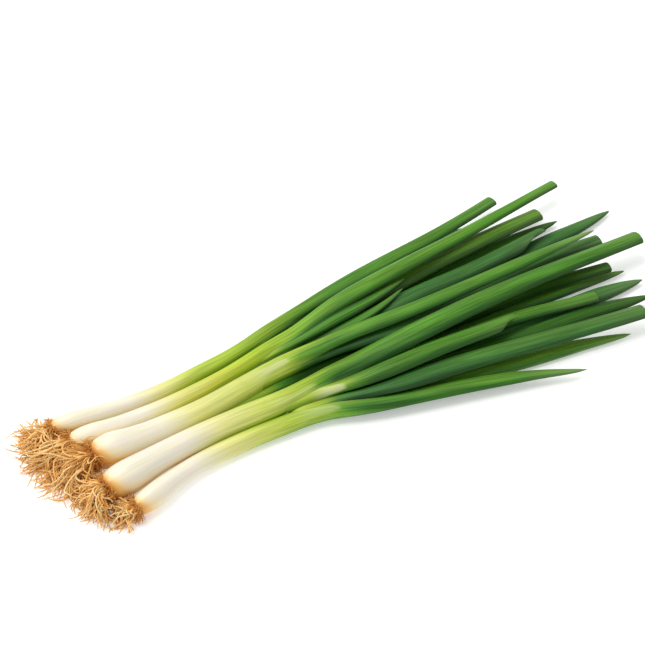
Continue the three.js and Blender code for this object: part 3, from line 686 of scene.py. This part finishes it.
def rootFibre():
    # Dry root fibres: thin, tough and dull, pale straw where new and brown where old, and painted darker in the
    # hollows as painted shade.
    material, tree, shader = newMaterial("dryRootFibre")
    tone = addNode(tree, "ShaderNodeAttribute", {"attribute_name": "tone"}).outputs["Fac"]
    grain = addNode(tree, "ShaderNodeAttribute", {"attribute_name": "grain"}).outputs["Vector"]
    scaled = addNode(tree, "ShaderNodeMapping", Vector=grain, Scale=(1 / (0.5 * mm), 1 / (0.5 * mm), 1 / (3 * mm)))
    patches = addNode(tree, "ShaderNodeTexNoise", Vector=scaled.outputs["Vector"], Scale=1.0,
                      Detail=3.0).outputs["Fac"]
    mixed = addNode(tree, "ShaderNodeMath", {"operation": "MULTIPLY_ADD"}, in_0=patches, in_1=0.35, in_2=tone)
    mixed = addNode(tree, "ShaderNodeMath", {"operation": "SUBTRACT"}, in_0=mixed.outputs[0], in_1=0.14)
    colour = addNode(tree, "ShaderNodeValToRGB", Fac=mixed.outputs[0],
                     stops=[(0.0, "#7c3e0a"), (0.3, "#c07824"), (0.6, "#e6ad5a"), (1.0, "#f6d798")])
    tree.links.new(colour.outputs["Color"], shader.inputs["Base Color"])
    shader.inputs["Roughness"].default_value = 0.62
    shader.inputs["IOR"].default_value = 1.45
    shader.inputs["Subsurface Weight"].default_value = 0.1
    shader.inputs["Subsurface Radius"].default_value = (1.0, 0.6, 0.3)
    shader.inputs["Subsurface Scale"].default_value = 0.5 * mm
    bump = addNode(tree, "ShaderNodeBump", Height=patches, Strength=0.5, Distance=0.08 * mm)
    tree.links.new(bump.outputs["Normal"], shader.inputs["Normal"])
    return material


rootTuft = {
    "strands": 240,
    "sides": 5,
    "steps": 12,
    "fringeSteps": 6,
    "thick": (0.45 * mm, 0.8 * mm),     # half thickness where a strand starts
    "thin": 0.2 * mm,                   # and at its end
    "fringe": 150,                      # short hairs round the edge of the root plate
    "under": 0.45,                      # share of the strands that are old and low in the tuft, painted dark: partly the brown of age, partly painted shade
    "stray": 0.45,                      # how much strands differ in their heading across the bunch
    "lengths": (0.4, 0.6, 0.8, 0.95, 1.0),
    "curl": 0.05,                       # how curled a strand starts
    "keepCurl": 0.86,                   # share of its curl that it keeps at each step
    "droop": 0.13,
    "clear": 0.8 * mm,                  # strands keep this far from the stems' skins
    "lowest": 0.6 * mm,                 # and this far above the table, before the old ones are pressed lower
    "plateBacks": (0.0, 0.6, 1.6, 2.8, 3.8, 4.6, 5.0),           # mm behind the bulb
    "plateShares": (1.0, 1.04, 1.0, 0.86, 0.66, 0.4, 0.15),      # and the root plate's size there
}

# reach of the strands in mm, how they lean and spread across the bunch, the most and least they lean, and how many,
# as a share
tufts = {
    1: {"reach": 22, "lean": -0.15, "share": 0.9, "most": 0.35},
    2: {"reach": 32, "lean": 0.0, "share": 1.0},
    3: {"reach": 35, "lean": 0.15, "share": 1.25, "spread": 0.6},
    4: {"reach": 20, "lean": -0.05, "share": 1.55, "spread": 1.0},
    5: {"reach": 15, "lean": 0.75, "share": 1.25, "spread": 0.7, "least": 0.0},
}
fibre = rootFibre()


def stemAt(number, x):
    # middle and radius of a stem at x, or of its root end beyond that
    run, neck = outerRuns[number]
    x = min(max(x, run["x"][0]), neck)
    return Vector((x, at(run, "y", x), at(run, "z", x))), at(run, "halfThick", x)


def strandPath(draw, number, plate, plateRadius, short=False):
    tuft = tufts[number]
    steps = rootTuft["fringeSteps" if short else "steps"]
    angle, out = draw.uniform(0, 2 * math.pi), math.sqrt(draw.random())
    if short:
        out = draw.uniform(0.95, 1.15)
    across, rise = math.cos(angle) * out, math.sin(angle) * out
    point = plate + Vector((draw.uniform(0.2, 3.0) * -mm, across * plateRadius, rise * plateRadius))
    if short:
        point.x = plate.x + draw.uniform(-0.5, 2.2) * mm
        heading = Vector((draw.uniform(-1.0, 0.25), across, rise)).normalized()
        step = draw.uniform(2.5, 7) * mm / steps
    else:
        sideways = tuft["lean"] + across * tuft.get("spread", 0.5) + draw.gauss(0, rootTuft["stray"])
        sideways = min(max(sideways, tuft.get("least", -2.0)), tuft.get("most", 2.0))
        heading = Vector((-1, sideways, rise * 0.4 + draw.gauss(0, 0.12))).normalized()
        step = tuft["reach"] * mm * draw.choice(rootTuft["lengths"]) * draw.uniform(0.85, 1.08) / steps
    curl = Vector((draw.gauss(0, 1), draw.gauss(0, 1), draw.gauss(0, 1))) * rootTuft["curl"]
    path = [point]
    for i in range(steps):
        bend = 0.075 + 0.055 * i / steps
        curl = curl * rootTuft["keepCurl"] + Vector((draw.gauss(0, 1), draw.gauss(0, 1), draw.gauss(0, 1))) * bend
        heading = (heading + curl.cross(heading) + Vector((0, 0, -rootTuft["droop"]))).normalized()
        point = point + heading * step
        for other in onions:
            middle, radius = stemAt(other, point.x)
            away = point - middle
            if point.x > middle.x - mm and away.length < radius + rootTuft["clear"]:
                point = middle + away.normalized() * (radius + rootTuft["clear"])
        point.z = min(point.z, plate.z + 1.3 * plateRadius)
        if point.z < rootTuft["lowest"]:
            point.z = rootTuft["lowest"]
            heading.z = abs(heading.z) * 0.15
        path.append(point.copy())
    return path


def strandRings(path, start, end, sides):
    # a tube round a path, its sections carried along without twisting
    points = np.array(path)
    fine = np.linspace(0, len(points) - 1, 2 * len(points) - 1)
    points = np.stack([np.interp(fine, np.arange(len(points)), points[:, k]) for k in range(3)], axis=-1)
    points[1:-1] = (points[:-2] + 2 * points[1:-1] + points[2:]) / 4
    ahead = np.gradient(points, axis=0)
    ahead /= np.linalg.norm(ahead, axis=1)[:, None]
    side = np.cross(ahead, (0.0, 0.13, 1.0))
    side /= np.linalg.norm(side, axis=1)[:, None]
    up = np.cross(side, ahead)
    t = np.linspace(0, 1, len(points))
    radius = end + (start - end) * (1 - t) ** 0.7
    angles = np.linspace(0, 2 * np.pi, sides, endpoint=False)
    spokes = side[:, None] * np.cos(angles)[:, None] + up[:, None] * np.sin(angles)[:, None]
    return points[:, None] + radius[:, None, None] * spokes, t


def growRoots(number):
    node = f"onion_{number}_roots"
    draw = random.Random(100 + number)
    plate, plateRadius = stemAt(number, -1)
    allPoints, allFaces, allGrain, allTone = [], [], [], []
    count = 0

    def keep(rings, grain, tone):
        nonlocal count
        rows, sides = rings.shape[:2]
        here = np.arange(rows * sides).reshape(rows, sides) + count
        turned = np.roll(here, -1, axis=1)
        allPoints.append(rings.reshape(-1, 3))
        allFaces.extend(np.stack([here[:-1], turned[:-1], turned[1:], here[1:]], axis=-1).reshape(-1, 4).tolist())
        allFaces.append(here[0][::-1].tolist())
        allFaces.append(here[-1].tolist())
        allGrain.append(grain.reshape(-1, 3))
        allTone.append(tone.reshape(-1))
        count += rows * sides

    # the root plate, a rough brown knob on the end of the bulb
    angles = np.linspace(0, 2 * np.pi, 40, endpoint=False)
    backs = np.array(rootTuft["plateBacks"]) * mm
    shares = np.array(rootTuft["plateShares"])
    rough = np.array([[draw.uniform(-0.5, 0.5) for _ in angles] for _ in backs]) * mm * 0.8
    rough[0] = 0
    ring = plateRadius * shares[:, None] + rough
    rings = np.stack([plate.x - np.broadcast_to(backs[:, None], ring.shape) + 0.2 * mm,
                      plate.y + ring * np.cos(angles),
                      np.maximum(plate.z + ring * np.sin(angles), 0.3 * mm)], axis=-1)
    keep(rings, rings, np.full(ring.shape, 0.12))
    strands = int(rootTuft["strands"] * tufts[number]["share"])
    for i in range(strands + rootTuft["fringe"]):
        short = i >= strands
        path = strandPath(draw, number, plate, plateRadius, short)
        start = draw.uniform(*rootTuft["thick"]) * (0.35 if short else 1)
        rings, t = strandRings(path, start, rootTuft["thin"] * (0.5 if short else 1), rootTuft["sides"])
        angles = np.linspace(0, 2 * np.pi, rootTuft["sides"], endpoint=False)
        length = t[:, None] * 40 * mm
        grain = np.stack([np.broadcast_to(start * np.cos(angles) + i * 0.01, rings.shape[:2]),
                          np.broadcast_to(start * np.sin(angles), rings.shape[:2]),
                          np.broadcast_to(length, rings.shape[:2])], axis=-1)
        old = i < strands * rootTuft["under"]
        base = draw.uniform(0.2, 0.5) if short or old else draw.uniform(0.45, 1.0)
        if old:
            rings[..., 2] = rings[..., 2] * 0.6
        rings[..., 2] = np.maximum(rings[..., 2], 0.05 * mm)
        # partly the brown of old root and partly painted shade: strands are painted darker where they start at the
        # root plate, in the hollow under the bulb, and the old low ones and the short hairs darker still
        tone = base * (0.5 + 0.5 * smooth(t / 0.3)) + (0.28 * t if old else 0)
        tone = np.broadcast_to(tone[:, None], rings.shape[:2])
        keep(rings, grain, tone)
    mesh = bpy.data.meshes.new(node)
    mesh.from_pydata(np.vstack(allPoints).tolist(), [], allFaces)
    mesh.polygons.foreach_set("use_smooth", [True] * len(allFaces))
    grainSlot = mesh.attributes.new("grain", "FLOAT_VECTOR", "POINT")
    grainSlot.data.foreach_set("vector", np.vstack(allGrain).astype(np.float32).ravel())
    toneSlot = mesh.attributes.new("tone", "FLOAT", "POINT")
    toneSlot.data.foreach_set("value", np.concatenate(allTone).astype(np.float32))
    addPiece(f"onion_{number}_root_tuft", mesh, fibre, "roots", node)


for number in onions:
    growRoots(number)
print("roots grown")


# ---- floor, light and camera ----

studio = {
    "floorColour": "#f2f2f0",
    "floorSize": 6.0,
    "floorGlow": 0.3,
    "worldColour": "#ffffff",
    "worldStrength": 0.62,
    "key": {"place": (-0.4, 0.6, 1.3), "size": 1.5, "power": 16},
    "window": {"place": (-0.75, 0.25, 1.1), "size": 0.16, "power": 1.6},
}


def makeFloor():
    mesh = bpy.data.meshes.new("floor")
    half = studio["floorSize"] / 2
    mesh.from_pydata([(-half, -half, 0), (half, -half, 0), (half, half, 0), (-half, half, 0)], [], [(0, 1, 2, 3)])
    floor = bpy.data.objects.new("floor", mesh)
    bpy.context.scene.collection.objects.link(floor)
    # opal acrylic of a light table, lit a little from below, so that it stays bright and the shadows stay soft
    material, tree, shader = newMaterial("opalLightTable")
    noise = addNode(tree, "ShaderNodeTexNoise", Scale=400.0, Detail=2.0).outputs["Fac"]
    tint = addNode(tree, "ShaderNodeMix", {"data_type": "RGBA"}, in_0=noise, in_6=hexColour(studio["floorColour"]),
                   in_7=hexColour("#f6f6f5")).outputs[2]
    tree.links.new(tint, shader.inputs["Base Color"])
    shader.inputs["Emission Color"].default_value = hexColour("#ffffff")
    shader.inputs["Emission Strength"].default_value = studio["floorGlow"]
    shader.inputs["Roughness"].default_value = 0.9
    shader.inputs["Specular IOR Level"].default_value = 0.2
    mesh.materials.append(material)


def makeLight(name, spec, aim):
    light = bpy.data.lights.new(name, "AREA")
    light.shape = "DISK"
    light.size = spec["size"]
    light.energy = spec["power"]
    lamp = bpy.data.objects.new(name, light)
    lamp.location = spec["place"]
    lamp.rotation_euler = (Vector(aim) - Vector(spec["place"])).to_track_quat("-Z", "Y").to_euler()
    bpy.context.scene.collection.objects.link(lamp)


view = {
    "azimuth": -29.275,
    "elevation": 47.0,
    "distance": 1.1,
    "lens": 107.44,
    "fromMiddleStem": Vector((0.156074, 0.035953, 0.010)),   # what the camera aims at, from the middle stem's corner
}


def makeCamera():
    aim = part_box("onion_3_stem")[0]
    aim = Vector((aim.x, aim.y, 0)) + view["fromMiddleStem"]
    a, e = math.radians(view["azimuth"]), math.radians(view["elevation"])
    back = Vector((math.sin(a) * math.cos(e), -math.cos(a) * math.cos(e), math.sin(e)))
    right = Vector((math.cos(a), math.sin(a), 0))
    up = back.cross(right)
    data = bpy.data.cameras.new("camera")
    data.lens = view["lens"]
    data.sensor_width = 36
    camera = bpy.data.objects.new("camera", data)
    turned = Matrix((right, up, back)).transposed()
    camera.matrix_world = Matrix.LocRotScale(aim + back * view["distance"], turned, None)
    bpy.context.scene.collection.objects.link(camera)
    bpy.context.scene.camera = camera
    return aim


aim = makeCamera()
makeFloor()
makeLight("softboxKey", studio["key"], aim)
makeLight("smallWindow", studio["window"], aim)
world = bpy.data.worlds.new("studioWorld")
world.use_nodes = True
world.node_tree.nodes["Background"].inputs["Color"].default_value = hexColour(studio["worldColour"])
world.node_tree.nodes["Background"].inputs["Strength"].default_value = studio["worldStrength"]
bpy.context.scene.world = world
bpy.context.scene.view_settings.view_transform = "Standard"
print("studio set")
